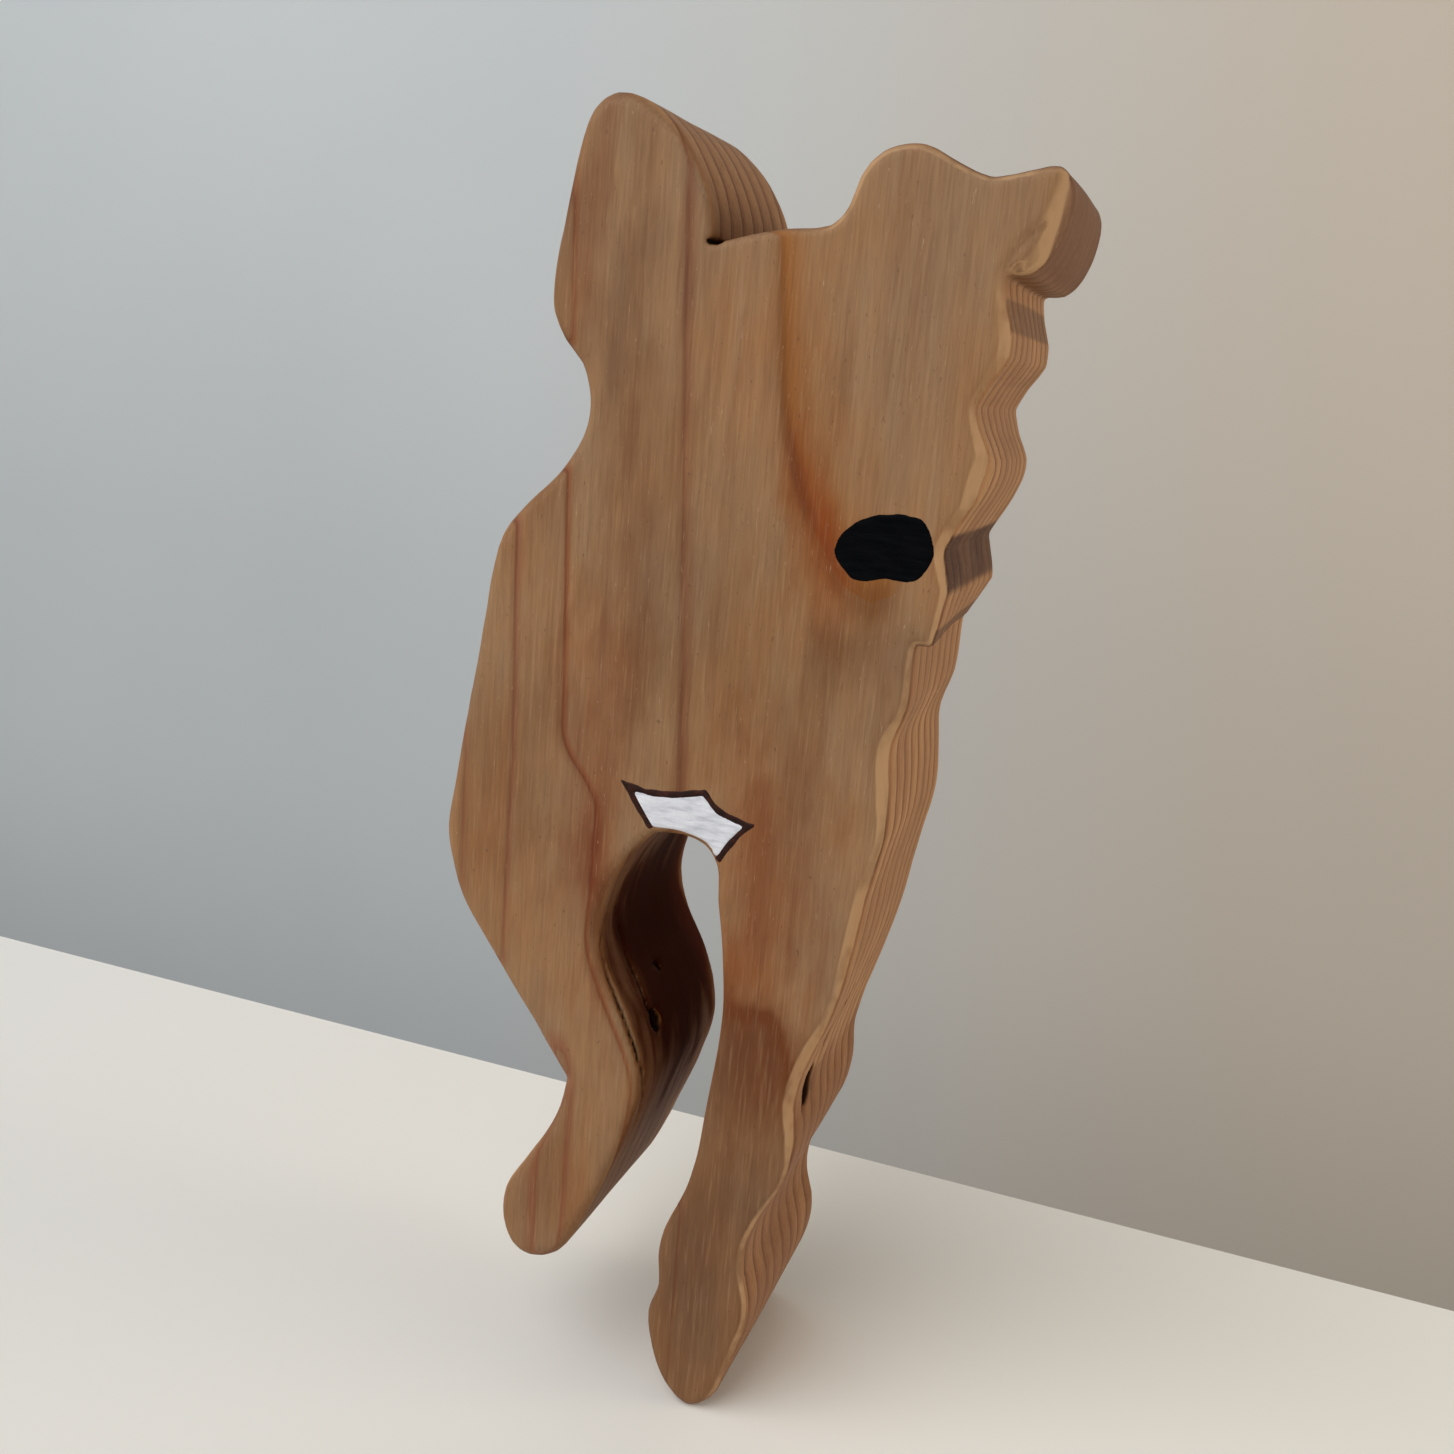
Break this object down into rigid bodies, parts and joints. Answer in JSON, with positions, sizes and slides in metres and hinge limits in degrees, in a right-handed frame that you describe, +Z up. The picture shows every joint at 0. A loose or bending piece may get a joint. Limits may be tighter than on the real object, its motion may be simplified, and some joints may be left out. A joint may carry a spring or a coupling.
{
  "type": "carved wooden figurine",
  "caption": "Standing figurine sawn from a thick softwood board with rounded edges, a raised arm, a scalloped side, parted legs, and painted white and black patches.",
  "frame": {"origin": "centre of the figure's box in plan, at the tip of the longer leg", "axes": "+Z up along the height of the figure, -Y the way its painted front looks, +X towards the scalloped side"},
  "size_m": [0.063, 0.0286, 0.1483],
  "materials": {
    "oiled_softwood": "sanded and oiled, satin, with dark growth-ring lines and a branch knot",
    "white_paint": "thin hand-brushed film with visible brush strokes",
    "dark_brown_paint": "narrow hand-drawn line, slightly glossy",
    "black_paint": "matt hand-brushed film"
  },
  "bodies": {
    "root": {"figure_body": "oiled_softwood", "white_paint_patch": "white_paint", "dark_paint_line": "dark_brown_paint", "black_paint_spot": "black_paint"}
  },
  "joints": []
}
